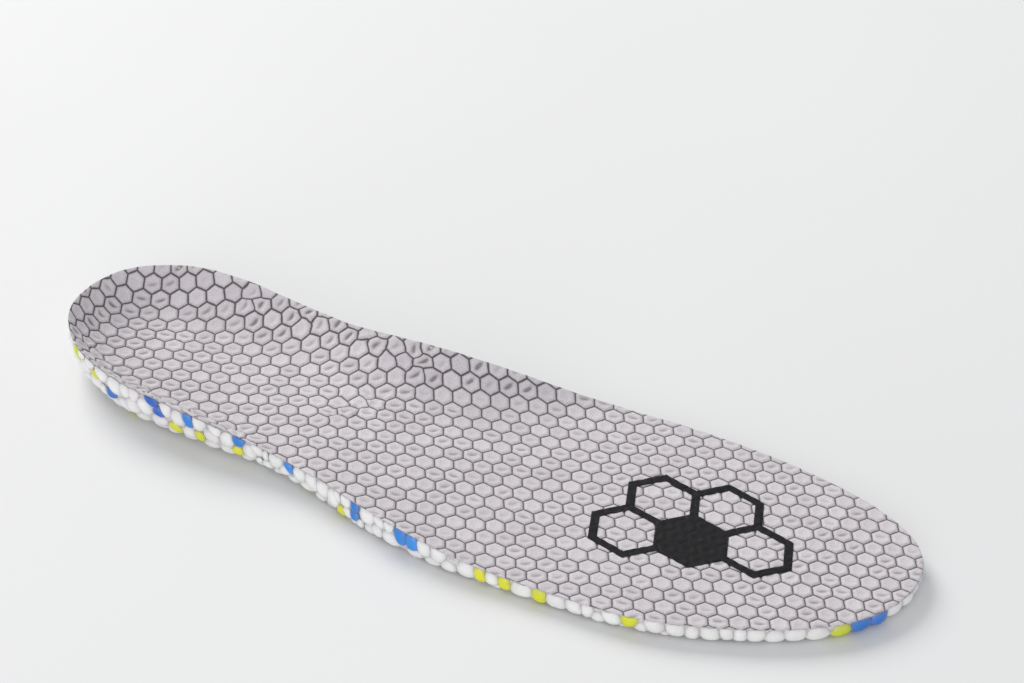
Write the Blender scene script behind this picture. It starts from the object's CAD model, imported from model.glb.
"""Cushioned insole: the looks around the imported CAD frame.

Lengths in this script are millimetres in the row frame, until make_mesh() writes them in metres.
"""

import math

import bmesh
import bpy
import numpy as np
from mathutils import Matrix, Vector
from mathutils.bvhtree import BVHTree
from mathutils.kdtree import KDTree


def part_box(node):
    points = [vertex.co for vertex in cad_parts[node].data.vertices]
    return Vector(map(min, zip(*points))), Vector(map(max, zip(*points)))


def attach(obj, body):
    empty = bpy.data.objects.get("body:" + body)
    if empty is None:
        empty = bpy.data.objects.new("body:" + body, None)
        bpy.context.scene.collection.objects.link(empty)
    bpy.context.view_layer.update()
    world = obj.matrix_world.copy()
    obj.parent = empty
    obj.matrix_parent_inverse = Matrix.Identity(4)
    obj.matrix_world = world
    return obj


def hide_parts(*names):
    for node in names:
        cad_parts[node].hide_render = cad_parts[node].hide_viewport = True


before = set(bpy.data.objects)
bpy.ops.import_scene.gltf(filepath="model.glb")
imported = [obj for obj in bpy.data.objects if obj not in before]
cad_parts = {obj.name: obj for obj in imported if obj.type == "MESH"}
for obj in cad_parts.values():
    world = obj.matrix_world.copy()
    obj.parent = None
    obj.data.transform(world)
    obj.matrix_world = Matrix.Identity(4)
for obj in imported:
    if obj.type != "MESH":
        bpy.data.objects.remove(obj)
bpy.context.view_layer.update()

MM = 0.001
BODY = "root"
UP = Vector((0, 0, 1))
DOWN = Vector((0, 0, -1))
ABOVE_ALL = 60             # heights from which rays reach the whole insole
BELOW_ALL = -20
rng = np.random.default_rng(20)

# ------------------------------------------------------------------ driving sizes

CELL_PITCH = 5.88          # honeycomb, from cell centre to cell centre
CELL_TURN = 26.0           # degrees from the insole's long axis to a row of cells
CELL_PHASE = (1.5, 0.0)    # a cell's centre, from the heel end and the heel's middle line
COVER_THICK = 1.0
COVER_EDGE_THICK = 0.35    # the fabric is pressed thin where the mould closed on it
COVER_EDGE_FALL = 0.2      # how far its face drops at the edge
COVER_EDGE_INSET = 0.5     # the beads stand a little proud of the fabric's cut edge
LINING_DEPTH = 1.3
LINING_THICK = 0.4
FILM_DEPTH = 2.0
FILM_THICK = 0.2
LINING_INSET = 3.0

GROOVE_DROP = 0.34         # how deep the lines between the cells are pressed
PUFF_RISE = 0.14
DIMPLE_DROP = 0.27

SPINE_FROM_HEEL = 27.0     # where the grid's middle line starts and ends
SPINE_FROM_TOE = 34.0
SPINE_SMOOTH = 14          # in columns, as are the next two in columns and rings
SURFACE_SMOOTH = 7
SLOPE_SMOOTH = 2.5
COLUMN_STEP = 0.5
RING_COUNT = 104
LAST_RING = RING_COUNT - 1
UNDER_RINGS = (0, 20, 40, 60, 75, 88, 96)
INNER_RINGS = [*range(0, RING_COUNT, 6), LAST_RING]
TOE_FAN = 230              # columns round each end
HEEL_FAN = 170

BEAD_HEEL = 4.9            # bead spacing at the heel and at the toe
BEAD_TOE = 6.9
BEAD_CLOUD = 26000         # sample points that share out the moulded surface
BEAD_ROUNDS = 16
ACCENT_ROUND = 9           # when the beads' sizes and colours are drawn
BEAD_LEAN = np.array([0.42, 0, -0.91])    # beads are longer this way on upright walls
BEAD_STRETCH = 0.27
BEAD_TOP_DROP = 0.6        # the highest beads end this far under the fabric's face
BEAD_RINGS = [0.3, 0.55, 0.75, 0.9, 0.985]
BEAD_UNDER = [(0.96, 1.3), (0.65, 1.7)]
SEGMENTS = 20
WALK_STEP = 0.35
MATRIX_VOXEL = 0.6
MATRIX_SINK = 0.85         # how far the beads stand out of the foam, below and on the sides
MATRIX_SINK_SIDE = 1.35
RIB_OVERHANG = 0.55        # how far a rib's beads bulge over the groove beside them

NUB_SKIN = 0.75            # height of the gel skin above the plane of the nub tips
NUB_ROW_STEP = 4.3
LARGE_NUB = (1.3, 0.68)    # radius and height
SMALL_NUB = (0.85, 0.5)
NUB_SEGMENTS = 14

# colour (1 blue, 2 yellow), distance from the heel end, height above the ground
OUTER_SIDE_ACCENTS = [
    (2, 12, 11), (2, 21, 8), (1, 30, 6), (1, 42, 11), (1, 45, 8), (2, 52, 6), (1, 57, 9),
    (2, 61, 3), (1, 70, 7), (2, 72, 3), (1, 90, 7), (2, 109, 3), (1, 114, 7), (1, 117, 4),
    (1, 132, 6), (1, 136, 3), (2, 155, 2.5), (2, 164, 2.5), (2, 175, 3.5), (2, 200, 3.5),
    (2, 255, 3.5), (1, 262, 3.5), (1, 266.5, 3.5),
]
# the other coloured beads: colour, share of all beads, least distance between two
SCATTERED_ACCENTS = ((1, 0.07, 9.5), (2, 0.075, 9.0))

# Small creases where the fabric gathers: place, reach, how much is taken in, direction.
PUCKERS = [
    (92, 2, 5.5, 1.5, 0.5), (96, 8, 5, 1.5, -0.4), (90, -4, 4.5, 1.2, 0.1),
    (12, -15, 6, 1.2, -0.9), (24, -24, 6, 1.6, -0.4), (36, -27, 7, 1.8, 0.1),
    (52, -29, 7, 1.6, 0.0), (70, -29, 7, 1.4, -0.1), (46, 30, 6, 1.2, 0.2),
    (66, 32, 7, 1.3, 0.0), (88, 31, 8, 1.5, 0.2), (104, 28, 7, 1.2, 0.4),
]


# ------------------------------------------------------------------ mesh helpers

def node_arrays(name):
    """A CAD node's vertices in millimetres and its triangles."""
    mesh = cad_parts[name].data
    mesh.calc_loop_triangles()
    points = np.zeros(len(mesh.vertices) * 3)
    mesh.vertices.foreach_get("co", points)
    triangles = np.zeros(len(mesh.loop_triangles) * 3, int)
    mesh.loop_triangles.foreach_get("vertices", triangles)
    return points.reshape(-1, 3) / MM, triangles.reshape(-1, 3)


def tree_of(points, triangles):
    return BVHTree.FromPolygons([tuple(p) for p in points], [tuple(t) for t in triangles])


def shown(name, mesh):
    piece = bpy.data.objects.new(name, mesh)
    bpy.context.scene.collection.objects.link(piece)
    return piece


def make_mesh(name, points, faces):
    mesh = bpy.data.meshes.new(name)
    mesh.from_pydata([tuple(p) for p in np.asarray(points) * MM], [], [tuple(f) for f in faces])
    mesh.validate()
    mesh.update()
    mesh.shade_smooth()
    return shown(name, mesh)


def stand_for(piece, node, material):
    """Shows the piece in place of a CAD node, on the insole's one body."""
    piece.data.materials.clear()
    piece.data.materials.append(material)
    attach(piece, BODY)
    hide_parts(node)
    return piece


def give_attribute(piece, name, values):
    values = np.asarray(values, np.float32)
    kind = "FLOAT_VECTOR" if values.ndim == 2 else "FLOAT"
    attribute = piece.data.attributes.new(name, kind, "POINT")
    attribute.data.foreach_set("vector" if values.ndim == 2 else "value", values.ravel())


def smoothstep(low, high, value):
    t = np.clip((value - low) / (high - low), 0, 1)
    return t * t * (3 - 2 * t)


def unit(vector):
    return vector / np.linalg.norm(vector)


def catmull_closed(points, per_span):
    """A finer closed outline through the same points."""
    a, b = np.roll(points, 1, 0), points
    c, d = np.roll(points, -1, 0), np.roll(points, -2, 0)
    rows = []
    for k in range(per_span):
        t = k / per_span
        rows.append(0.5 * (2 * b + (c - a) * t + (2 * a - 5 * b + 4 * c - d) * t**2
                           + (3 * b - a - 3 * c + d) * t**3))
    return np.stack(rows, 1).reshape(-1, points.shape[1])


def edge_loop(name):
    """The sharp edge round the top of a CAD plate or layer, in order, in three dimensions."""
    points, triangles = node_arrays(name)
    points, same = np.unique(np.round(points, 3), axis=0, return_inverse=True)
    triangles = same.reshape(-1)[triangles]
    corners = points[triangles]
    normals = np.cross(corners[:, 1] - corners[:, 0], corners[:, 2] - corners[:, 0])
    upright = normals[:, 2] / (np.linalg.norm(normals, axis=1) + 1e-12)
    owner = {}
    for i, triangle in enumerate(triangles):
        for k in range(3):
            owner[int(triangle[k]), int(triangle[(k + 1) % 3])] = i
    following = {a: b for (a, b), i in owner.items()
                 if upright[i] > 0.1 and (b, a) in owner and abs(upright[owner[b, a]]) < 0.05}
    best, best_area = None, 0
    while following:
        start, step = following.popitem()
        loop = [start]
        while step in following:
            loop.append(step)
            step = following.pop(step)
        ring = points[loop]
        after = np.roll(ring, -1, 0)
        area = 0.5 * np.sum(ring[:, 0] * after[:, 1] - ring[:, 1] * after[:, 0])
        if area > best_area:
            best, best_area = ring, area
    return best


def outline_of(name, per_span=8):
    return catmull_closed(edge_loop(name)[:, :2], per_span)


def inward_of(outline):
    """Unit vectors from each point of an outline towards its inside."""
    along = np.roll(outline, -1, 0) - np.roll(outline, 1, 0)
    return np.column_stack([-along[:, 1], along[:, 0]]) / np.linalg.norm(along, axis=1)[:, None]


def ray_to_outline(start, direction, outline):
    """How far each ray goes before it leaves the outline."""
    a = outline[None] - start[:, None]
    b = np.roll(outline, -1, 0)[None] - start[:, None]
    side_a = direction[:, None, 0] * a[..., 1] - direction[:, None, 1] * a[..., 0]
    side_b = direction[:, None, 0] * b[..., 1] - direction[:, None, 1] * b[..., 0]
    crosses = side_a * side_b <= 0
    t = side_a / np.where(side_a == side_b, 1, side_a - side_b)
    hit = a + (b - a) * t[..., None]
    along = (hit * direction[:, None]).sum(-1)
    return np.where(crosses & (along > 0), along, np.inf).min(1)


def gauss_smooth(values, sigma, axis, wrap):
    reach = int(3 * sigma) + 1
    weights = np.exp(-0.5 * (np.arange(-reach, reach + 1) / sigma) ** 2)
    weights /= weights.sum()
    pad = [(0, 0)] * values.ndim
    pad[axis] = (reach, reach)
    how = {"mode": "wrap"} if wrap else {"mode": "reflect", "reflect_type": "odd"}
    padded = np.pad(values, pad, **how)
    out = np.zeros_like(values)
    for k, weight in enumerate(weights):
        index = [slice(None)] * values.ndim
        index[axis] = slice(k, k + values.shape[axis])
        out += weight * padded[tuple(index)]
    return out


def closed_dome(faces, base, count, segments, outward):
    """A tip at base, count rings of points under it, and a last point that closes them."""
    for k in range(segments):
        nxt = (k + 1) % segments
        new = [(base, base + 1 + k, base + 1 + nxt)]
        for r in range(count - 1):
            a = base + 1 + r * segments
            b = a + segments
            new.append((a + k, b + k, b + nxt, a + nxt))
        a = base + 1 + (count - 1) * segments
        new.append((a + k, base + 1 + count * segments, a + nxt))
        faces += new if outward else [face[:1] + face[:0:-1] for face in new]


# ------------------------------------------------------------------ the insole's top surface

HEEL_X, TOE_X = (v[0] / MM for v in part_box("top_cover"))
cover_outline = outline_of("top_cover")


def heel_middle_y():
    """The heel's own middle line, where the fabric's pattern is counted from."""
    heel = cover_outline[np.abs(cover_outline[:, 0] - HEEL_X - 40) < 3]
    return (heel[:, 1].min() + heel[:, 1].max()) / 2


class Grid:
    """Columns from a middle line out to the edge, all the way round, with even rings on them."""

    def __init__(self):
        xs = np.arange(HEEL_X + SPINE_FROM_HEEL, TOE_X - SPINE_FROM_TOE, COLUMN_STEP)
        ys = []
        for x in xs:
            near = cover_outline[np.abs(cover_outline[:, 0] - x) < 2.5, 1]
            ys.append((near.min() + near.max()) / 2)
        ys = gauss_smooth(np.array(ys), SPINE_SMOOTH, 0, wrap=False)
        count = len(xs)
        toe_turns = (np.arange(TOE_FAN) + 1) / (TOE_FAN + 1) * math.pi
        heel_turns = (np.arange(HEEL_FAN) + 1) / (HEEL_FAN + 1) * math.pi
        stations = np.arange(count)
        quarter = math.pi / 2
        self.station = np.concatenate([
            stations, np.full(TOE_FAN, count - 1), stations[::-1], np.zeros(HEEL_FAN, int)])
        angles = np.concatenate([
            np.full(count, -quarter), toe_turns - quarter,
            np.full(count, quarter), heel_turns + quarter])
        self.inner = np.stack([xs, ys], 1)[self.station]
        self.direction = np.stack([np.cos(angles), np.sin(angles)], 1)
        self.span = ray_to_outline(self.inner, self.direction, cover_outline) - COVER_EDGE_INSET
        self.station_count = count
        self.columns = len(self.station)
        self.share = np.linspace(0, 1, RING_COUNT)
        away = (self.span[:, None] * self.share)[..., None]
        self.flat = self.inner[:, None] + self.direction[:, None] * away
        self.point = np.concatenate([self.flat, self._heights()[..., None]], 2)
        self.normal = self._normals()

    def _heights(self):
        tree = tree_of(*node_arrays("top_cover"))
        raw = np.zeros((self.columns, RING_COUNT))
        for i in range(self.columns):
            for j in range(RING_COUNT):
                x, y = self.flat[i, j]
                hit = tree.ray_cast(Vector((x, y, ABOVE_ALL)), DOWN)[0]
                raw[i, j] = (hit or tree.find_nearest(Vector((x, y, 25)))[0]).z
        smooth = gauss_smooth(raw, SURFACE_SMOOTH, 0, wrap=True)
        smooth = gauss_smooth(smooth, SLOPE_SMOOTH, 1, wrap=False)
        for s in range(self.station_count):
            same = self.station == s
            smooth[same, 0] = smooth[same, 0].mean()
        return smooth

    def _normals(self):
        round_way = np.roll(self.point, -1, 0) - np.roll(self.point, 1, 0)
        outward = np.gradient(self.point, axis=1)
        normal = np.cross(outward, round_way)
        length = np.linalg.norm(normal, axis=2, keepdims=True)
        normal = np.where(length > 1e-9, normal / np.maximum(length, 1e-9), (0, 0, 1.0))
        normal *= np.sign(normal[..., 2:3] + 1e-9)
        normal[:, :2] = normal[:, 2:3]
        for s in (0, self.station_count - 1):
            same = self.station == s
            normal[same, 0] = normal[same, :3].mean((0, 1))
        return normal / np.linalg.norm(normal, axis=2, keepdims=True)

    def arc(self):
        """Length over the surface from the middle line, which the fabric's pattern follows."""
        step = np.linalg.norm(np.diff(self.point, axis=1), axis=2)
        return np.concatenate([np.zeros((self.columns, 1)), np.cumsum(step, 1)], 1)

    def layer(self, name, top_rings, bottom_rings):
        """A closed sheet from (ring index, points of every column); ring 0 is the middle line."""
        points, faces, sides = [], [], ([], [])
        for rings, rows in zip((top_rings, bottom_rings), sides):
            for ring, coordinates in rings:
                if ring:
                    rows.append(list(range(len(points), len(points) + self.columns)))
                    points.extend(coordinates)
                    continue
                first = {}
                for column, station in enumerate(self.station):
                    if station not in first:
                        first[station] = len(points)
                        points.append(coordinates[column])
                rows.append([first[station] for station in self.station])
        for rows, flip in zip(sides, (False, True)):
            for inner, outer in zip(rows[:-1], rows[1:]):
                for k in range(self.columns):
                    nxt = (k + 1) % self.columns
                    face = (inner[k], outer[k], outer[nxt], inner[nxt])
                    if inner[k] == inner[nxt]:
                        face = face[:3]
                    faces.append(face[::-1] if flip else face)
        edge_top, edge_bottom = sides[0][-1], sides[1][-1]
        for k in range(self.columns):
            nxt = (k + 1) % self.columns
            faces.append((edge_bottom[k], edge_bottom[nxt], edge_top[nxt], edge_top[k]))
        return make_mesh(name, np.array(points), faces), len(points), sides[0]


grid = Grid()


# ------------------------------------------------------------------ honeycomb pattern

CELL_ANGLE = math.radians(CELL_TURN)
CELL_AXES = np.array([[math.cos(CELL_ANGLE), -math.sin(CELL_ANGLE)],
                      [math.sin(CELL_ANGLE), math.cos(CELL_ANGLE)]])
ROW_STEP = math.sqrt(3)    # two rows of cells, in cell pitches


def fabric_coordinates():
    """Where each grid point lies on the flat fabric, in millimetres."""
    flat = grid.inner[:, None] + grid.direction[:, None] * grid.arc()[..., None]
    flat = flat - np.array([HEEL_X, heel_middle_y()])
    x, y = flat[..., 0], flat[..., 1]
    flat = flat + np.stack([
        0.35 * np.sin(x / 19 + y / 31) + 0.2 * np.sin(y / 7.3 + 1.7),
        0.35 * np.sin(y / 17 - x / 37 + 2) + 0.2 * np.sin(x / 8.1),
    ], -1)
    for x, y, reach, pull, turn in PUCKERS:
        away = flat - np.array([x, y])
        distance = np.linalg.norm(away, axis=-1)
        fade = np.exp(-((distance / reach) ** 2))
        across = np.array([-math.sin(turn), math.cos(turn)])
        flat = flat + (fade * pull * np.tanh((away @ across) / 1.8))[..., None] * across
        waves = np.stack([np.sin(away[..., 1] * 1.1 + x), np.sin(away[..., 0] * 0.9 + y)], -1)
        flat = flat + (fade * pull * 0.4)[..., None] * waves
    return flat


def on_pattern(flat):
    return (flat - np.array(CELL_PHASE)) @ CELL_AXES


def cell_of(flat):
    """For points on the fabric: the way from the cell's centre, how far its edge is, its number."""
    local = on_pattern(flat) / CELL_PITCH
    cell = np.array([1.0, ROW_STEP])
    a = np.mod(local, cell) - cell / 2
    b = np.mod(local - cell / 2, cell) - cell / 2
    take = ((a**2).sum(-1) < (b**2).sum(-1))[..., None]
    away = np.where(take, a, b)
    centre = np.rint((local - away) * 2 / cell).astype(int)
    x, y = np.abs(away[..., 0]), np.abs(away[..., 1])
    reach = np.maximum(x, x * 0.5 + y * ROW_STEP / 2)
    return away * CELL_PITCH, (0.5 - reach) * CELL_PITCH, centre


def cell_random(centre, salt):
    """One fixed random share for each cell; another salt gives another set."""
    table = np.random.default_rng(salt).random(4096)
    return table[(centre[..., 0] * 73 + centre[..., 1] * 151 + 977) % 4096]


def relief(flat, steep, outward):
    """Height of the pressed pattern over the plain surface, and how strongly each point is dimpled.

    The hollows lie along the rows on the flat, and up the slope where the fabric climbs a wall.
    """
    away, edge, centre = cell_of(flat)
    low = 1 - smoothstep(0.0, 0.8, edge)
    rim = np.exp(-(((edge - 1.0) / 0.55) ** 2))
    bowl = smoothstep(1.0, 2.6, edge) * (0.03 + 0.1 * cell_random(centre, 7))
    chosen = smoothstep(0.12, 0.9, cell_random(centre, 5)) * (1 + 1.1 * steep)
    spin = 0.12 + (cell_random(centre, 6) - 0.5) * 0.8
    spin = spin + steep * (outward - 0.35 - spin)
    shift = 0.7 * (cell_random(centre, 8) - 0.5)
    along = away[..., 0] * np.cos(spin) + away[..., 1] * np.sin(spin)
    across = -away[..., 0] * np.sin(spin) + away[..., 1] * np.cos(spin) - shift
    hollow = np.exp(-np.abs(along / 1.6) ** 2.4 - (across / 0.5) ** 2)
    dimple = chosen * hollow * smoothstep(0.2, 0.9, edge)
    height = PUFF_RISE * rim - bowl - GROOVE_DROP * low - DIMPLE_DROP * dimple
    return height, dimple


def crumple(flat):
    """Creases in the cover's height where the fabric has gathered."""
    height = np.zeros(flat.shape[:-1])
    for k, (x, y, reach, pull, turn) in enumerate(PUCKERS):
        away = flat - np.array([x, y])
        fade = np.exp(-((np.linalg.norm(away, axis=-1) / reach) ** 2))
        for m in range(3):
            angle = turn + 0.9 * m
            across = away @ np.array([-math.sin(angle), math.cos(angle)])
            height += fade * 0.09 * pull * np.sin(across * (1.1 + 0.35 * m) + 1.7 * k + m)
    return height


# ------------------------------------------------------------------ materials

class Look:
    """A material in the making, with short ways to write its nodes."""

    def __init__(self, name):
        self.material = bpy.data.materials.new(name)
        self.material.use_nodes = True
        self.nodes, self.links = self.material.node_tree.nodes, self.material.node_tree.links
        self.shader = self.nodes["Principled BSDF"]

    def node(self, kind, **settings):
        node = self.nodes.new("ShaderNode" + kind)
        for key, value in settings.items():
            if key in node.inputs:
                node.inputs[key].default_value = value
            else:
                setattr(node, key, value)
        return node

    def place(self):
        return self.node("TexCoord").outputs["Object"]

    def attribute(self, name, output="Fac"):
        return self.node("Attribute", attribute_name=name).outputs[output]

    def texture(self, kind, place, **settings):
        """The texture's value over the piece."""
        node = self.node("Tex" + kind, **settings)
        self.links.new(place, node.inputs["Vector"])
        return node.outputs[0]

    def wire(self, sockets, values):
        for socket, value in zip(sockets, values):
            if isinstance(value, bpy.types.NodeSocket):
                self.links.new(value, socket)
            elif value is not None:
                socket.default_value = value

    def number(self, operation, a, b=None):
        node = self.node("Math", operation=operation)
        self.wire(node.inputs, (a, b))
        return node.outputs[0]

    def vector(self, operation, a, b=None):
        node = self.node("VectorMath", operation=operation)
        self.wire(node.inputs, (a, b))
        return node.outputs["Value" if operation == "DOT_PRODUCT" else 0]

    def scaled(self, vector, by):
        node = self.node("VectorMath", operation="SCALE")
        self.wire((node.inputs[0], node.inputs["Scale"]), (vector, by))
        return node.outputs[0]

    def ramp(self, factor, stops):
        """Colours along a factor; a single number stands for a grey."""
        node = self.node("ValToRGB")
        while len(node.color_ramp.elements) < len(stops):
            node.color_ramp.elements.new(0.5)
        for element, (place, colour) in zip(node.color_ramp.elements, stops):
            element.position = place
            element.color = (*(colour if isinstance(colour, tuple) else (colour,) * 3), 1)
        self.links.new(factor, node.inputs[0])
        return node.outputs[0]

    def mix(self, factor, a, b, blend="MIX"):
        node = self.node("Mix", data_type="RGBA", blend_type=blend)
        a, b = ((*v, 1) if isinstance(v, tuple) else v for v in (a, b))
        self.wire((node.inputs[0], node.inputs[6], node.inputs[7]), (factor, a, b))
        return node.outputs[2]

    def finish(self, colour, height, bump, settings):
        """bump is its strength and its distance in metres."""
        self.links.new(colour, self.shader.inputs["Base Color"])
        node = self.node("Bump", Strength=bump[0], Distance=bump[1])
        self.links.new(height, node.inputs["Height"])
        self.links.new(node.outputs[0], self.shader.inputs["Normal"])
        for socket, value in settings.items():
            self.shader.inputs[socket].default_value = value
        return self.material


def nearest_centre(look, local):
    """The way to each point from the centre of its cell, on a honeycomb of pitch 1."""
    offset = 400.0         # keeps the modulo's argument above zero
    ways = []
    for start in (offset, offset + 0.5):
        moved = look.vector("ADD", local, (start, start * ROW_STEP, 0.0))
        inside = look.vector("MODULO", moved, (1.0, ROW_STEP, 1.0))
        way = look.vector("SUBTRACT", inside, (0.5, ROW_STEP / 2, 0.5))
        ways.append(look.vector("MULTIPLY", way, (1.0, 1.0, 0.0)))
    a, b = ways
    lengths = (look.vector("DOT_PRODUCT", way, way) for way in ways)
    nearer = look.number("LESS_THAN", *lengths)
    pick = look.node("Mix", data_type="VECTOR")
    look.wire((pick.inputs[0], pick.inputs[4], pick.inputs[5]), (nearer, b, a))
    return pick.outputs[1]


def fabric_material():
    look = Look("honeycomb_fabric")
    place = look.attribute("fabric_mm", "Vector")
    wobble = look.node("TexNoise", Scale=0.9, Detail=2.0)
    look.links.new(place, wobble.inputs["Vector"])
    shift = look.scaled(look.vector("SUBTRACT", wobble.outputs["Color"], (0.5, 0.5, 0.5)), 0.055)
    local = look.vector("ADD", look.scaled(place, 1 / CELL_PITCH), shift)
    away = nearest_centre(look, local)
    size = look.vector("ABSOLUTE", away)
    straight = look.vector("DOT_PRODUCT", size, (1.0, 0.0, 0.0))
    slanted = look.vector("DOT_PRODUCT", size, (0.5, ROW_STEP / 2, 0.0))
    edge = look.number("SUBTRACT", 0.5, look.number("MAXIMUM", straight, slanted))
    edge = look.number("SUBTRACT", edge, look.number("MULTIPLY", look.attribute("steep"), 0.012))
    # 0 on the line between two cells, 1 well inside a cell
    line = look.ramp(edge, [(0.0, 0.0), (0.024, 0.05), (0.052, 0.8), (0.15, 1.0)])

    centre = look.vector("ADD", look.vector("SUBTRACT", local, away), (0.01, 0.01, 0.0))
    snapped = look.vector("SNAP", centre, (0.5, ROW_STEP / 2, 1.0))
    tone = look.texture("WhiteNoise", snapped, noise_dimensions="2D")
    cell_tone = look.ramp(tone, [(0.0, (0.625, 0.585, 0.61)), (1.0, (0.685, 0.645, 0.668))])
    mottle = look.texture("Noise", place, Scale=2.2, Detail=6.0, Roughness=0.65)
    cloudy = look.ramp(mottle, [(0.32, (0.78, 0.77, 0.78)), (0.5, 0.97), (0.68, 1.1)])
    body = look.mix(1.0, cell_tone, cloudy, "MULTIPLY")
    hollow = look.number("MINIMUM", look.number("MULTIPLY", look.attribute("dimple"), 0.78), 0.85)
    body = look.mix(hollow, body, (0.22, 0.19, 0.205))
    thread = look.mix(mottle, (0.085, 0.072, 0.082), (0.15, 0.132, 0.145))
    colour = look.mix(line, thread, body)

    # knitted face: two sets of slanted yarns, finer than the cells
    yarns = []
    for turn in (35, 145):
        spun = look.node("Mapping", Rotation=(0, 0, math.radians(turn)))
        look.links.new(place, spun.inputs["Vector"])
        settings = {"Scale": 0.62, "Distortion": 1.2, "Detail": 2.0, "Detail Scale": 2.5}
        wave = look.node("TexWave", **settings)
        look.links.new(spun.outputs[0], wave.inputs["Vector"])
        yarns.append(wave.outputs["Fac"])
    knit = look.number("MULTIPLY", look.number("MAXIMUM", *yarns), 0.45)
    grain = look.texture("Noise", place, Scale=7.0, Detail=4.0, Roughness=0.7)
    height = look.number("MULTIPLY", look.number("ADD", knit, grain), 0.12)
    height = look.number("ADD", height, look.number("MULTIPLY", line, 0.35))
    return look.finish(colour, height, (0.55, 0.0004), {
        "Roughness": 0.88, "Specular IOR Level": 0.25, "Sheen Weight": 0.25, "Sheen Roughness": 0.5,
        "Sheen Tint": (0.95, 0.93, 0.96, 1)})


def lining_material():
    look = Look("black_lining")
    knit = look.texture("Voronoi", look.place(), Scale=1400.0)
    colour = look.ramp(knit, [(0.0, (0.022, 0.022, 0.026)), (0.7, (0.006, 0.006, 0.008))])
    return look.finish(colour, knit, (0.6, 0.0002), {"Roughness": 0.9})


def film_material():
    look = Look("hot_melt_film")
    ripple = look.texture("Noise", look.place(), Scale=500.0, Detail=3.0)
    colour = look.ramp(ripple, [(0.3, (0.72, 0.72, 0.69)), (0.7, (0.82, 0.82, 0.8))])
    return look.finish(colour, ripple, (0.3, 0.0002), {"Roughness": 0.3, "Alpha": 0.08})


def bead_material(name, colours, rough, scatter):
    """colours are a ramp over the beads' own random tints."""
    look = Look(name)
    place = look.place()
    cloud = look.texture("Noise", place, Scale=260.0, Detail=3.0)
    shade = look.ramp(cloud, [(0.3, 0.93), (0.7, 1.03)])
    colour = look.mix(1.0, look.ramp(look.attribute("tint"), colours), shade, "MULTIPLY")
    deep = look.number("MULTIPLY", look.attribute("depth"), 0.4)
    colour = look.mix(deep, colour, (0.42, 0.39, 0.41))
    skin = look.texture("Voronoi", place, Scale=2600.0, feature="SMOOTH_F1")
    return look.finish(colour, skin, (0.12, 0.0001), {
        "Roughness": rough, "Specular IOR Level": 0.45, "Subsurface Weight": scatter,
        "Subsurface Radius": (0.0022, 0.0018, 0.0016), "Subsurface Scale": 1.0})


def matrix_material():
    look = Look("foam_between_beads")
    place = look.place()
    grain = look.texture("Noise", place, Scale=420.0, Detail=5.0, Roughness=0.6)
    cells = look.texture("Voronoi", place, Scale=420.0, feature="SMOOTH_F1")
    colour = look.ramp(grain, [(0.3, (0.52, 0.49, 0.51)), (0.7, (0.72, 0.69, 0.705))])
    height = look.number("ADD", grain, look.number("MULTIPLY", cells, -0.8))
    return look.finish(colour, height, (0.5, 0.0005), {"Roughness": 0.75})


def gel_material():
    look = Look("blue_gel")
    place = look.place()
    cloud = look.texture("Noise", place, Scale=30.0, Detail=4.0)
    colour = look.ramp(cloud, [(0.3, (0.035, 0.115, 0.275)), (0.7, (0.055, 0.165, 0.36))])
    grain = look.texture("Noise", place, Scale=1500.0, Detail=3.0)
    return look.finish(colour, grain, (0.12, 0.0001), {
        "Roughness": 0.36, "Coat Weight": 0.25, "Coat Roughness": 0.25, "Subsurface Weight": 0.15,
        "Subsurface Radius": (0.0006, 0.001, 0.002), "Subsurface Scale": 1.0})


def print_material():
    look = Look("print_film")
    grain = look.texture("Noise", look.place(), Scale=900.0, Detail=4.0)
    colour = look.ramp(grain, [(0.3, (0.004, 0.0035, 0.0045)), (0.75, (0.010, 0.0085, 0.0105))])
    return look.finish(colour, grain, (0.25, 0.0001), {
        "Roughness": 0.62, "Specular IOR Level": 0.22})


# ------------------------------------------------------------------ fabric cover and its layers

def build_cover():
    flat = fabric_coordinates()
    steep = smoothstep(0.03, 0.26, 1 - grid.normal[..., 2])
    away = np.abs(grid.direction)
    outward = np.arctan2(away[:, 1], away[:, 0])[:, None] - CELL_ANGLE
    height, dimple = relief(flat, steep, outward)
    clear = smoothstep(0, 0.7, grid.span[:, None] * (1 - grid.share))
    height = (height + crumple(flat)) * clear - COVER_EDGE_FALL * (1 - clear)
    uneven = gauss_smooth(rng.normal(0, 0.35, grid.columns), 4, 0, wrap=True)
    top = grid.point + grid.normal * height[..., None]
    top[:, -1, :2] += grid.direction * uneven[:, None]
    for s in range(grid.station_count):
        same = np.flatnonzero(grid.station == s)
        top[same, 0] = top[same[0], 0]
    rings = [(j, top[:, j]) for j in range(RING_COUNT)]
    lip = np.concatenate([grid.direction * 0.06, np.full((grid.columns, 1), -0.12)], 1)
    edge = top[:, LAST_RING] + lip
    rings.append((RING_COUNT, edge))
    under = [(j, grid.point[:, j] - grid.normal[:, j] * COVER_THICK) for j in UNDER_RINGS]
    pressed = np.array([0, 0, COVER_EDGE_THICK + COVER_EDGE_FALL])
    under.append((LAST_RING, grid.point[:, LAST_RING] - pressed))
    piece, count, rows = grid.layer("honeycomb_cover", rings, under)

    coordinates, marks, slope = np.zeros((count, 3)), np.zeros(count), np.zeros(count)
    pattern = on_pattern(flat)
    for j, row in enumerate(rows):
        source = min(j, LAST_RING)
        coordinates[row, :2] = pattern[:, source]
        marks[row] = dimple[:, source]
        slope[row] = steep[:, source]
    give_attribute(piece, "fabric_mm", coordinates)
    give_attribute(piece, "dimple", marks)
    give_attribute(piece, "steep", slope)
    return stand_for(piece, "top_cover", fabric_material())


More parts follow.
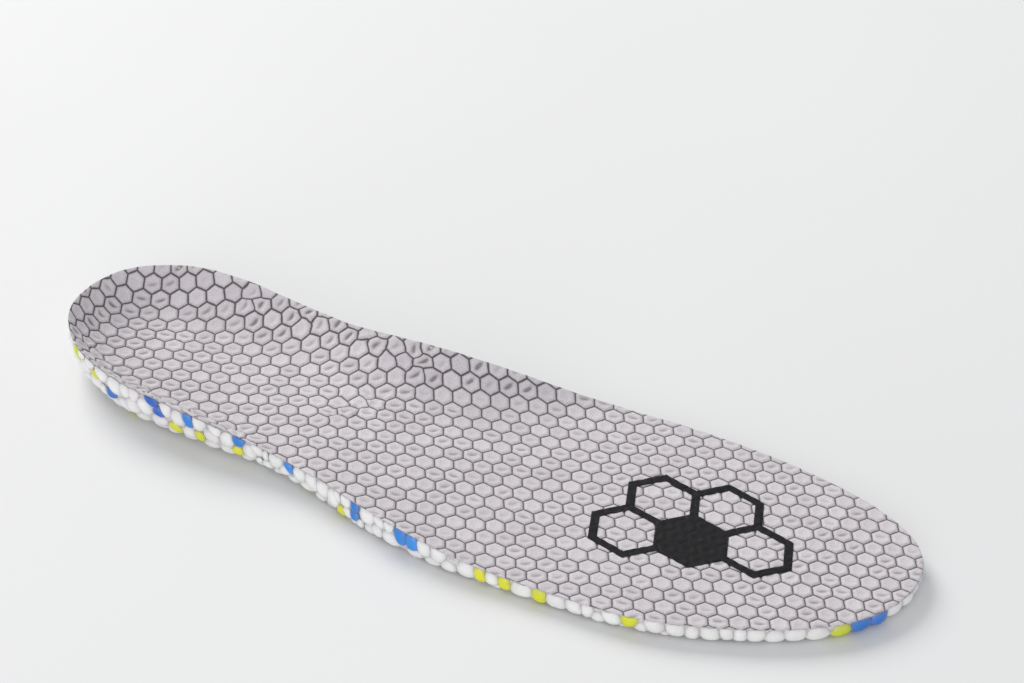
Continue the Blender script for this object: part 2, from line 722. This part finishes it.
def build_inner_layer(name, node, depth, thick, material):
    """A plain sheet under the fabric, short of the edge."""
    share = np.clip(1 - LINING_INSET / grid.span, 0, 1)
    index = np.arange(grid.columns)

    def at(j, down):
        place = j * share
        low = np.clip(place.astype(int), 0, RING_COUNT - 2)
        t = (place - low)[:, None]
        point = grid.point[index, low] * (1 - t) + grid.point[index, low + 1] * t
        normal = grid.normal[index, low] * (1 - t) + grid.normal[index, low + 1] * t
        return point - normal * down

    top = [(j, at(j, depth)) for j in INNER_RINGS]
    under = [(j, at(j, depth + thick)) for j in INNER_RINGS]
    return stand_for(grid.layer(name, top, under)[0], node, material)


# ------------------------------------------------------------------ bead foam

base_points, base_triangles = node_arrays("bead_foam_base")
base_tree = tree_of(base_points, base_triangles)


def ceiling_over(x, y):
    """The first point of the CAD base above this place, or None where a vent opens."""
    return base_tree.ray_cast(Vector((x, y, BELOW_ALL)), UP)[0]


def normals_and_areas(corners):
    crossed = np.cross(corners[:, 1] - corners[:, 0], corners[:, 2] - corners[:, 0])
    area = np.linalg.norm(crossed, axis=1) / 2
    return crossed / (2 * area[:, None] + 1e-12), area


def moulded_faces():
    """The CAD base's faces that the mould shaped outside, without recesses, grooves and vents."""
    corners = base_points[base_triangles]
    normals, area = normals_and_areas(corners)
    centre = corners.mean(1)
    ceiling = (normals[:, 2] < -0.99) & (centre[:, 2] > 1.0)
    chosen = (normals[:, 2] < 0.35) & ~ceiling & (area > 1e-6)
    for i in np.flatnonzero(chosen):
        start = Vector(centre[i] + normals[i] * 0.05)
        if base_tree.ray_cast(start, Vector(normals[i]))[0] is not None:
            chosen[i] = False
    corners = np.concatenate([corners[chosen], edge_band()])
    return corners, *normals_and_areas(corners)


def edge_band():
    """Where the beads reach up round the cover's pressed edge, above the CAD base's wall."""
    upper, lower = edge_loop("top_cover"), edge_loop("bead_foam_base")
    gap = ((upper[:, None, :2] - lower[None, :, :2]) ** 2).sum(-1).argmin(1)
    column = ((upper[:, None, :2] - grid.point[None, :, -1, :2]) ** 2).sum(-1).argmin(1)
    rim = np.minimum(upper[:, 2], grid.point[column, -1, 2])
    high = rim - BEAD_TOP_DROP * (1 + 0.5 * smoothstep(8, 12, rim))
    low = np.minimum(lower[gap, 2], high - 0.1)
    a = np.column_stack([upper[:, :2], low])
    b = np.roll(a, -1, 0)
    d = np.column_stack([upper[:, :2], high])
    c = np.roll(d, -1, 0)
    return np.concatenate([np.stack([a, b, c], 1), np.stack([a, c, d], 1)])


def find_grooves():
    """Each groove under the arch as rows of [x, low y, high y, open], found from below."""
    low, high = (np.array(v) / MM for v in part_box("bead_foam_base"))
    nothing, shallowest, through = 30.0, 1.6, 20
    tracks = []
    ys = np.arange(low[1], high[1], 0.25)
    for x in np.arange(low[0] + 30, high[0] - 60, 1.0):
        hits = [ceiling_over(x, y) for y in ys]
        depth = [nothing if hit is None else hit.z for hit in hits]
        start = None
        for k, y in enumerate(ys):
            if depth[k] > shallowest:
                start = k if start is None else start
                continue
            if start is not None and 2.0 < ys[k - 1] - ys[start] < 5.0:
                middle = (ys[k - 1] + ys[start]) / 2
                is_open = depth[(start + k) // 2] > through or ceiling_over(x, middle) is None
                near = [t for t in tracks
                        if x - t[-1][0] < 3.5 and abs((t[-1][1] + t[-1][2]) / 2 - middle) < 1.6]
                if not near:
                    near = [[]]
                    tracks.append(near[0])
                near[0].append([x, ys[start], ys[k - 1], is_open])
            start = None
    long_ones = sorted((t for t in tracks if len(t) > 40), key=lambda t: t[10][1])
    return [np.array(t, float) for t in long_ones]


def rib_edges(first, second, x):
    """Low and high y of the rib between two neighbouring grooves."""
    return np.interp(x, first[:, 0], first[:, 2]), np.interp(x, second[:, 0], second[:, 1])


class Beads:
    """Seeds of the fused beads, with their size and the direction each one faces."""

    def __init__(self):
        corners, normals, area = moulded_faces()
        self.tree = tree_of(corners.reshape(-1, 3), np.arange(3 * len(corners)).reshape(-1, 3))
        self.grooves = find_grooves()
        weight = area / self.spacing(corners.mean(1)[:, 0]) ** 2
        pick = rng.choice(len(corners), BEAD_CLOUD, p=weight / weight.sum())
        u, v = rng.random(BEAD_CLOUD), rng.random(BEAD_CLOUD)
        flip = u + v > 1
        u[flip], v[flip] = 1 - u[flip], 1 - v[flip]
        c = corners[pick]
        cloud = c[:, 0] + (c[:, 1] - c[:, 0]) * u[:, None] + (c[:, 2] - c[:, 0]) * v[:, None]
        keep = ~self.on_rib(cloud)
        self.cloud, self.facing = cloud[keep], normals[pick][keep]
        self.place_free(int(keep.mean() * weight.sum() / 0.82))
        self.add_ribs()

    def spacing(self, x):
        return BEAD_HEEL + (BEAD_TOE - BEAD_HEEL) * smoothstep(HEEL_X + 90, HEEL_X + 190, x)

    def on_rib(self, points):
        inner = np.zeros(len(points), bool)
        x, y = points[:, 0], points[:, 1]
        for first, second in zip(self.grooves[:-1], self.grooves[1:]):
            start, end = max(first[0, 0], second[0, 0]), min(first[-1, 0], second[-1, 0])
            low, high = rib_edges(first, second, x)
            inner |= (points[:, 2] < 0.6) & (x > start) & (x < end) & (y > low) & (y < high)
        return inner

    def place_free(self, count):
        """Evens out random seeds, with beads on upright walls taller than they are wide."""
        self.metric = np.eye(3) - BEAD_STRETCH * np.outer(BEAD_LEAN, BEAD_LEAN)
        back = np.linalg.inv(self.metric)
        cloud = self.cloud @ self.metric
        seeds = cloud[rng.choice(len(cloud), count, replace=False)]
        bonus = np.zeros(count)
        for step in range(BEAD_ROUNDS):
            if step == ACCENT_ROUND:
                bonus = np.clip(rng.normal(0, 2.4, count), -3.5, 4)
                accent = self.choose_accents(seeds @ back)
                bonus[accent > 0] = -2.0
            distance = (cloud**2).sum(1)[:, None] + (seeds**2).sum(1)[None] - 2 * cloud @ seeds.T
            near = (distance - bonus).argmin(1)
            total = np.bincount(near, minlength=count)
            full = total > 0
            for k in range(3):
                mean = np.bincount(near, cloud[:, k], minlength=count)
                seeds[full, k] = mean[full] / total[full]
        facing = np.stack([
            np.bincount(near, self.facing[:, k], minlength=count) for k in range(3)], 1)
        alive = (total > 0.3 * total.mean()) | (accent > 0)
        self.seeds, self.bonus, self.facing, self.accent = (
            v[alive] for v in (seeds @ back, bonus, facing, accent))

    def choose_accents(self, seeds):
        """0 white, 1 blue, 2 yellow: a few set by hand along the outer side, the rest scattered."""
        kind = np.zeros(len(seeds), int)
        tips = cover_outline[[cover_outline[:, 0].argmin(), cover_outline[:, 0].argmax()]]
        tip_line = np.interp(cover_outline[:, 0], tips[:, 0], tips[:, 1])
        outer = cover_outline[cover_outline[:, 1] < tip_line]
        for colour, from_heel, height in OUTER_SIDE_ACCENTS:
            place = outer[np.abs(outer[:, 0] - HEEL_X - from_heel).argmin()]
            kind[np.linalg.norm(seeds - [*place, height], axis=1).argmin()] = colour
        order = rng.permutation(len(seeds))
        for colour, share, apart in SCATTERED_ACCENTS:
            placed = list(np.flatnonzero(kind == colour))
            for i in order:
                outer_side = seeds[i, 1] < 0 and seeds[i, 2] > 1.5
                if kind[i] or outer_side or len(placed) >= share * len(seeds):
                    continue
                if all(np.linalg.norm(seeds[i] - seeds[j]) > apart for j in placed):
                    kind[i] = colour
                    placed.append(i)
        return kind

    def add_ribs(self):
        """The beads on each rib between two grooves: one row, or two staggered where it widens."""
        self.ribs = []
        bottom = base_points[:, 2].min()
        for first, second in zip(self.grooves[:-1], self.grooves[1:]):
            x = max(first[0, 0], second[0, 0]) + 1.0 + rng.random()
            end = min(first[-1, 0], second[-1, 0]) + 1.5
            side = 1
            while x < end:
                low, high = rib_edges(first, second, x)
                reach = (high - low) / 2 + RIB_OVERHANG
                draw = rng.random()
                kind = 1 if draw < 0.08 else 2 if draw < 0.14 else 0
                shrink = 0.85 if kind else 1.0
                if reach < 3.5:
                    half_long = 2.15 + 0.75 * rng.random()
                    half_wide = min(reach, 3.2) * (0.86 + 0.14 * rng.random())
                    y = (low + high) / 2 + 0.2 * rng.normal()
                    step = 2 * half_long + 0.15 + 0.6 * rng.random()
                else:
                    half_long, half_wide = 2.6 + 0.5 * rng.random(), 2.6 + 0.5 * rng.random()
                    aside = reach - half_wide
                    y = (low + high) / 2 + side * aside
                    side = -side
                    overlap = (aside / (half_wide + 0.2)) ** 2
                    step = 2 * half_long * math.sqrt(max(1 - overlap, 0.16))
                if np.linalg.norm(self.seeds - [x, y, bottom], axis=1).min() > 3.6:
                    self.ribs.append((x, y, bottom, half_long * shrink, half_wide * shrink, kind))
                x += step
        rows = np.array([r[:3] for r in self.ribs])
        self.free_count = len(self.seeds)
        self.seeds = np.concatenate([self.seeds, rows])
        self.bonus = np.concatenate([self.bonus, np.zeros(len(rows))])

    def build(self):
        """Bead meshes by colour (0 white, 1 blue, 2 yellow), each (points, faces, tint, depth)."""
        sets = {k: ([], [], [], []) for k in (0, 1, 2)}
        for i, seed in enumerate(self.seeds[:self.free_count]):
            found = self.tree.find_nearest(Vector(seed))
            facing = unit(unit(self.facing[i]) + 0.5 * np.array(found[1]))
            self.add_bead(sets[int(self.accent[i])], i, np.array(found[0]), facing)
        for x, y, bottom, half_long, half_wide, kind in self.ribs:
            proud = min(1.45, 0.5 * half_wide)
            add_pebble(*sets[kind], np.array([x, y, bottom + proud]), half_long, half_wide, proud)
        return sets

    def walk(self, i, seed, direction, others, bonus, limit):
        """Over the moulded surface from the seed until another bead is nearer, and a bit beyond."""
        own = self.seeds[i] @ self.metric
        place, path, gone, gap = seed, [seed], 0.0, 1.0
        reach = None
        while gone < limit and (reach is None or gone < 1.15 * reach):
            spot = np.array(self.tree.find_nearest(Vector(place + direction * WALK_STEP))[0])
            moved = np.linalg.norm(spot - place)
            if moved < 0.5 * WALK_STEP:
                break
            direction, place = (spot - place) / moved, spot
            path.append(place)
            gone += moved
            if reach is None:
                here = place @ self.metric
                rival = (((here - others) ** 2).sum(1) - bonus).min()
                new_gap = rival - (((here - own) ** 2).sum() - self.bonus[i])
                if new_gap < 0:
                    reach = gone - moved * new_gap / (new_gap - gap)
                gap = new_gap
        return path, gone if reach is None else reach

    def rounded(self, reach, facing, angle):
        """A soft, slightly uneven oval that fills the cell."""
        waves = np.fft.rfft(reach)
        waves[3:] = 0
        oval = np.fft.irfft(waves, SEGMENTS)
        filled = np.minimum(gauss_smooth(reach, 1.0, 0, wrap=True), reach + 0.25)
        outline = gauss_smooth(np.minimum(filled, 1.06 * oval), 0.8, 0, wrap=True)
        side = smoothstep(0.2, 0.7, 1 + facing[2])
        slim = (0.12 - 0.06 * side) * rng.random()
        way, dent = math.pi * rng.random(), 2 * math.pi * rng.random()
        outline *= (1 - slim * np.cos(angle - way) ** 2) * (1 + 0.02 * np.sin(3 * angle + dent))
        return outline * (0.965 + 0.035 * side)

    def add_bead(self, target, i, seed, facing):
        """One bead: a dome that fills its cell of the surface, closed behind."""
        points, faces, tints, depths = target
        base = len(points)
        helper = np.array([0, 0, 1.0]) if abs(facing[2]) < 0.8 else np.array([1.0, 0, 0])
        u_axis = unit(np.cross(facing, helper))
        v_axis = np.cross(facing, u_axis)
        angle = np.arange(SEGMENTS) / SEGMENTS * 2 * math.pi
        rays = np.cos(angle)[:, None] * u_axis + np.sin(angle)[:, None] * v_axis
        close = np.flatnonzero(((self.seeds - self.seeds[i]) ** 2).sum(1) < 13**2)
        close = close[close != i]
        others, bonus = self.seeds[close] @ self.metric, self.bonus[close]
        limit = self.spacing(seed[0]) * 0.78
        walks = [self.walk(i, seed, ray, others, bonus, limit) for ray in rays]
        outline = self.rounded(np.array([reach for _, reach in walks]), facing, angle)
        drop = min(0.5 * outline.mean(), 1.5)
        tint = rng.random()
        stand = max(rng.normal(0, 0.1), 0)

        def on_path(k, far):
            path = walks[k][0]
            if len(path) == 1:
                return path[0]
            place = min(far / WALK_STEP, len(path) - 1.001)
            low = int(place)
            return path[low] + (path[low + 1] - path[low]) * (place - low)

        points.append(seed - facing * stand)
        depths.append(0)
        rings = [(share, drop * (1 - (1 - share**2.2) ** 0.5)) for share in BEAD_RINGS] + [
            (share, drop * down) for share, down in BEAD_UNDER]
        for share, down in rings:
            for k in range(SEGMENTS):
                skin = on_path(k, share * outline[k])
                normal = unit(np.array(self.tree.find_nearest(Vector(skin))[1]) + facing)
                points.append(skin - normal * room_behind(skin, normal, down + stand))
                depths.append(min(down / drop, 1))
        points.append(seed - facing * room_behind(seed, facing, drop * 1.9))
        depths.append(1)
        closed_dome(faces, base, len(rings), SEGMENTS, outward=True)
        tints += [tint] * (2 + len(rings) * SEGMENTS)


def room_behind(skin, normal, wanted):
    """How far a bead can reach back into the foam before it would meet the fabric."""
    start = Vector((skin - normal * 0.02) * MM)
    hit = cover_tree.ray_cast(start, Vector(-normal), 6 * MM)
    return wanted if hit[0] is None else min(wanted, max(hit[3] / MM - 0.15, 0.05))


def add_pebble(points, faces, tints, depths, centre, half_long, half_wide, proud):
    """A closed oval pebble that hangs below a ceiling point by its proud height."""
    base = len(points)
    tint = rng.random()
    turn, dent = 0.35 * rng.normal(), 2 * math.pi * rng.random()
    levels = [-0.93, -0.75, -0.5, -0.2, 0.25, 0.8]
    points.append(centre + [0, 0, -proud])
    for level in levels:
        wide = (1 - abs(level) ** 2.2) ** (1 / 2.2)
        for k in range(SEGMENTS):
            angle = 2 * math.pi * k / SEGMENTS
            wavy = wide * (1 + 0.03 * math.sin(3 * angle + dent))
            x, y = math.cos(angle), math.sin(angle + 0.25 * turn)
            points.append(centre + [half_long * wavy * x, half_wide * wavy * y, level * proud])
    points.append(centre + [0, 0, proud])
    closed_dome(faces, base, len(levels), SEGMENTS, outward=False)
    tints += [tint] * (2 + len(levels) * SEGMENTS)
    depths += [0.0] + [max(level, 0) for level in levels for _ in range(SEGMENTS)] + [1.0]


def bead_piece(name, parts, colours, rough, scatter):
    points, faces, tints, depths = parts
    piece = make_mesh(name, np.array(points), faces)
    give_attribute(piece, "tint", tints)
    give_attribute(piece, "depth", depths)
    stand_for(piece, "bead_foam_base", bead_material(name, colours, rough, scatter))


def build_beads():
    beads = Beads()
    sets = beads.build()
    bead_piece("white_beads", sets[0], [
        (0.0, (0.83, 0.80, 0.81)), (0.35, (0.86, 0.85, 0.84)), (0.7, (0.85, 0.86, 0.83)),
        (1.0, (0.88, 0.87, 0.88))], 0.42, 0.25)
    bead_piece("blue_beads", sets[1], [
        (0.0, (0.012, 0.10, 0.50)), (1.0, (0.03, 0.28, 0.78))], 0.3, 0.2)
    bead_piece("yellow_beads", sets[2], [
        (0.0, (0.66, 0.72, 0.015)), (1.0, (0.82, 0.80, 0.03))], 0.35, 0.2)
    return beads


def build_groove_beads(grooves):
    """Smaller beads in the floor of each groove, between the vents."""
    parts = ([], [], [], [])
    for rows in grooves:
        x = rows[0, 0] + 2.2
        while x < rows[-1, 0] - 1.5:
            if rows[np.abs(rows[:, 0] - x) < 3.1, 3].any():
                x += 0.8
                continue
            low, high = np.interp(x, rows[:, 0], rows[:, 1]), np.interp(x, rows[:, 0], rows[:, 2])
            half_long = 1.7 + 0.7 * rng.random()
            ceiling = ceiling_over(x, (low + high) / 2)
            if ceiling is not None:
                add_pebble(*parts, np.array(ceiling), half_long, (high - low) / 2 - 0.1, 1.1)
            x += 2 * half_long + 0.3
    bead_piece("groove_beads", parts, [
        (0.0, (0.66, 0.63, 0.64)), (1.0, (0.76, 0.74, 0.75))], 0.5, 0.2)


def build_matrix(bead_skin):
    """The foam that the beads are fused in: the CAD base, sunk where beads stand on it."""
    piece = shown("foam_matrix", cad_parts["bead_foam_base"].data.copy())
    edit = bmesh.new()
    edit.from_mesh(piece.data)
    bmesh.ops.remove_doubles(edit, verts=edit.verts, dist=1e-6)
    edit.to_mesh(piece.data)
    edit.free()
    remesh = piece.modifiers.new("remesh", "REMESH")
    remesh.mode = "VOXEL"
    remesh.voxel_size = MATRIX_VOXEL * MM
    graph = bpy.context.evaluated_depsgraph_get()
    finer = bpy.data.meshes.new_from_object(piece.evaluated_get(graph))
    piece.modifiers.clear()
    piece.data = finer
    finer.name = "foam_matrix"
    points = np.zeros(len(finer.vertices) * 3)
    normals = np.zeros(len(finer.vertices) * 3)
    finer.vertices.foreach_get("co", points)
    finer.vertices.foreach_get("normal", normals)
    points, normals = points.reshape(-1, 3) / MM, normals.reshape(-1, 3)
    for i in np.flatnonzero(normals[:, 2] < 0.6):
        found = bead_skin.find_nearest(Vector(points[i]))
        if found[0] is None or found[3] > 0.8:
            continue
        lean = max(float(np.array(found[1]) @ normals[i]), 0)
        side = smoothstep(0.3, 0.8, 1 + found[1].z)
        sink = MATRIX_SINK + (MATRIX_SINK_SIDE - MATRIX_SINK) * side
        points[i] -= np.array(found[1]) * sink * lean

    # the top draws back from the edge, and rises to the fabric
    edge = KDTree(len(cover_outline))
    for k, (x, y) in enumerate(cover_outline):
        edge.insert((x, y, 0), k)
    edge.balance()
    inside = inward_of(cover_outline)
    inward = np.full(len(points), np.inf)
    for i in np.flatnonzero(normals[:, 2] > 0.2):
        k = edge.find((points[i, 0], points[i, 1], 0))[1]
        inward[i] = (points[i, :2] - cover_outline[k]) @ inside[k]
        if inward[i] < MATRIX_SINK_SIDE:
            points[i, :2] += (MATRIX_SINK_SIDE - inward[i]) * inside[k]
    for i in np.flatnonzero((inward < 3.2) & (normals[:, 2] > 0.5)):
        hit = cover_tree.ray_cast(Vector((points[i] + [0, 0, 0.05]) * MM), UP)
        if hit[0] is not None:
            points[i, 2] += max(hit[3] / MM - 0.1, 0)
    finer.vertices.foreach_set("co", (points * MM).ravel())
    finer.update()
    finer.shade_smooth()
    return stand_for(piece, "bead_foam_base", matrix_material())


# ------------------------------------------------------------------ gel pads

def build_pad(name, node, nub_step, print_node=None):
    """A gel plate with a rounded rim, and rows of domed nubs, large and small by turns."""
    outline = outline_of(node, per_span=5)
    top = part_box(node)[1][2] / MM
    middle = (outline.min(0) + outline.max(0)) / 2
    inward = inward_of(outline)
    rim = [(0.0, top), (0.0, NUB_SKIN + 0.9), (0.08, NUB_SKIN + 0.5), (0.3, NUB_SKIN + 0.2),
           (0.7, NUB_SKIN + 0.04), (1.3, NUB_SKIN)]
    rings = [(outline + inward * inset, z) for inset, z in rim]
    inner = rings[-1][0]
    rings += [(middle + (inner - middle) * share, NUB_SKIN) for share in (0.8, 0.55, 0.25)]
    points, faces, rows = [], [], []
    for ring, z in rings:
        rows.append(len(points))
        points += [np.array([*p, z]) for p in ring]
    centre, lid = len(points), len(points) + 1
    points += [np.array([*middle, NUB_SKIN]), np.array([*middle, top])]
    for k in range(len(outline)):
        nxt = (k + 1) % len(outline)
        for a, b in zip(rows[:-1], rows[1:]):
            faces.append((a + k, b + k, b + nxt, a + nxt))
        faces.append((rows[-1] + k, centre, rows[-1] + nxt))
        faces.append((rows[0] + k, rows[0] + nxt, lid))
    add_nubs(points, faces, outline, middle, nub_step, print_node)
    return stand_for(make_mesh(name, np.array(points), faces), node, gel_material())


def distance_to(outline, point):
    a, b = outline, np.roll(outline, -1, 0)
    ab = b - a
    t = np.clip(((point - a) * ab).sum(-1) / (ab**2).sum(-1), 0, 1)
    return np.linalg.norm(point - a - ab * t[:, None], axis=-1).min()


def is_inside(outline, point):
    x, y = point
    a, b = outline, np.roll(outline, -1, 0)
    above = (a[:, 1] > y) != (b[:, 1] > y)
    rise = np.where(a[:, 1] == b[:, 1], 1, b[:, 1] - a[:, 1])
    cross = a[:, 0] + (y - a[:, 1]) * (b[:, 0] - a[:, 0]) / rise
    return (above & (x < cross)).sum() % 2 == 1


def add_nubs(points, faces, outline, middle, nub_step, print_node):
    print_tree = tree_of(*node_arrays(print_node)) if print_node else None
    for r in range(-14, 15):
        for s in range(-22, 23):
            place = middle + np.array([(s + 0.5 * (r % 2)) * nub_step, r * NUB_ROW_STEP])
            radius, tall = LARGE_NUB if (s + r // 2) % 2 == 0 else SMALL_NUB
            if not is_inside(outline, place) or distance_to(outline, place) < radius + 0.9:
                continue
            if print_tree is None or not under_print(print_tree, place, radius):
                add_nub(points, faces, place, radius, tall)


def under_print(tree, place, radius):
    """Whether the print covers the nub's middle or any of eight places round its foot."""
    turns = [k * math.pi / 4 for k in range(8)]
    spots = [place] + [place + radius * np.array([math.cos(t), math.sin(t)]) for t in turns]
    return any(tree.ray_cast(Vector((*spot, BELOW_ALL)), UP)[0] is not None for spot in spots)


def add_nub(points, faces, place, radius, tall):
    """A dome with a soft foot, closed inside the gel."""
    base = len(points)
    profile = [(0.35, 0.93), (0.65, 0.72), (0.88, 0.38), (1.0, 0.12), (1.18, 0.0), (1.1, -0.4)]
    points.append(np.array([*place, NUB_SKIN - tall]))
    for share, height in profile:
        for k in range(NUB_SEGMENTS):
            angle = 2 * math.pi * k / NUB_SEGMENTS
            spot = place + radius * share * np.array([math.cos(angle), math.sin(angle)])
            points.append(np.array([*spot, NUB_SKIN - tall * height]))
    points.append(np.array([*place, NUB_SKIN + 0.4]))
    closed_dome(faces, base, len(profile), NUB_SEGMENTS, outward=False)


# ------------------------------------------------------------------ print films

def build_print(name, node, height_at, thick, slices):
    """The CAD film's outline, cut fine enough to follow what it is printed on."""
    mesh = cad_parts[node].data.copy()
    mesh.name = name
    low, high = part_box(node)
    edit = bmesh.new()
    edit.from_mesh(mesh)
    bmesh.ops.remove_doubles(edit, verts=edit.verts, dist=1e-6)
    for axis in (0, 1) if slices else ():
        normal = Vector((1 - axis, axis, 0))
        for place in np.arange(low[axis] + slices * MM, high[axis], slices * MM):
            everything = edit.verts[:] + edit.edges[:] + edit.faces[:]
            bmesh.ops.bisect_plane(
                edit, geom=everything, plane_co=normal * place, plane_no=normal, dist=1e-7)
    bmesh.ops.triangulate(edit, faces=edit.faces)
    middle = (low.z + high.z) / 2
    for vertex in edit.verts:
        upper = vertex.co.z > middle
        vertex.co.z = (height_at(vertex.co.x / MM, vertex.co.y / MM) + (thick if upper else 0)) * MM
    edit.to_mesh(mesh)
    edit.free()
    mesh.shade_smooth()
    mesh.set_sharp_from_angle(angle=math.radians(50))
    stand_for(shown(name, mesh), node, print_material())


def on_cover(x, y):
    """The print lies on the highest threads around each point, and bridges the narrow lines."""
    tops = [plain_tree.ray_cast(Vector((x, y, ABOVE_ALL)), DOWN)[0].z - 0.06]
    for k in range(9):
        reach = 0.45 * min(k, 1)
        turn = k * math.pi / 4
        spot = Vector((x + reach * math.cos(turn), y + reach * math.sin(turn), ABOVE_ALL)) * MM
        tops.append(cover_tree.ray_cast(spot, DOWN)[0].z / MM + 0.03)
    return max(tops)


# ------------------------------------------------------------------ stage, light and camera

def build_stage():
    size = 3000
    corners = [(-size, -size, 0), (size, -size, 0), (size, size, 0), (-size, size, 0)]
    piece = make_mesh("floor", corners, [(0, 1, 2, 3)])
    look = Look("pale_floor")
    cloud = look.texture("Noise", look.place(), Scale=3.0, Detail=2.0)
    look.links.new(look.ramp(cloud, [(0.3, 0.785), (0.7, 0.81)]), look.shader.inputs["Base Color"])
    look.shader.inputs["Roughness"].default_value = 0.7
    piece.data.materials.append(look.material)


def add_area_light(name, place, size, power, colour):
    """A round soft light in metres, aimed at the insole's middle."""
    data = bpy.data.lights.new(name, "AREA")
    data.shape = "DISK"
    data.size = size
    data.energy = power
    data.color = colour
    lamp = bpy.data.objects.new(name, data)
    lamp.location = place
    lamp.rotation_euler = (-Vector(place)).to_track_quat("-Z", "Y").to_euler()
    bpy.context.scene.collection.objects.link(lamp)


def build_lights():
    world = bpy.data.worlds.new("studio")
    world.use_nodes = True
    background = world.node_tree.nodes["Background"]
    background.inputs["Color"].default_value = (0.96, 0.98, 1.0, 1)
    background.inputs["Strength"].default_value = 0.57
    bpy.context.scene.world = world
    add_area_light("key", (-2.0, 1.15, 1.6), 1.7, 56, (1.0, 0.985, 0.97))
    add_area_light("fill", (0.5, -3.2, 1.0), 2.4, 43, (1.0, 0.99, 1.0))
    bpy.context.scene.view_settings.view_transform = "Standard"


def build_camera():
    """A long lens above the outer side of the heel, turned a little about its own axis."""
    azimuth, elevation, roll = math.radians(19.97), math.radians(35.71), math.radians(7.14)
    distance = 921.8
    target = np.array([-18.18, 66.5, 0.0])
    level = math.cos(elevation)
    back = np.array([math.sin(azimuth) * level, -math.cos(azimuth) * level, math.sin(elevation)])
    right = np.array([math.cos(azimuth), math.sin(azimuth), 0])
    up = np.cross(back, right)
    cos, sin = math.cos(roll), math.sin(roll)
    right, up = right * cos + up * sin, up * cos - right * sin
    place = (target + back * distance) * MM
    data = bpy.data.cameras.new("camera")
    data.sensor_width = 36
    data.lens = 101.44
    data.clip_start = 0.05
    data.clip_end = 20
    camera = bpy.data.objects.new("camera", data)
    rows = [(right[k], up[k], back[k], place[k]) for k in range(3)]
    camera.matrix_world = Matrix((*rows, (0, 0, 0, 1)))
    bpy.context.scene.collection.objects.link(camera)
    bpy.context.scene.camera = camera


# ------------------------------------------------------------------ assembly

build_camera()
build_lights()
build_stage()

cover = build_cover()
cover_tree = BVHTree.FromObject(cover, bpy.context.evaluated_depsgraph_get())
plain_tree = tree_of(*node_arrays("top_cover"))
lining = build_inner_layer(
    "black_lining", "cover_backing", LINING_DEPTH, LINING_THICK, lining_material())
build_inner_layer(
    "cover_melt_film", "cover_adhesive", FILM_DEPTH, FILM_THICK, film_material())

beads = build_beads()
build_groove_beads(beads.grooves)
matrix = build_matrix(beads.tree)

heel_pad = build_pad("heel_gel_pad", "heel_pad", 3.7)
forefoot_pad = build_pad("forefoot_gel_pad", "forefoot_pad", 4.4, print_node="pad_print")
for node in ("heel_pad_adhesive", "forefoot_pad_adhesive"):
    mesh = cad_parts[node].data
    mesh.materials.clear()
    mesh.materials.append(film_material())

build_print("forefoot_print", "top_print", on_cover, 0.09, slices=0.7)
build_print("pad_mark", "pad_print", lambda x, y: NUB_SKIN - 0.08, 0.1, slices=0)
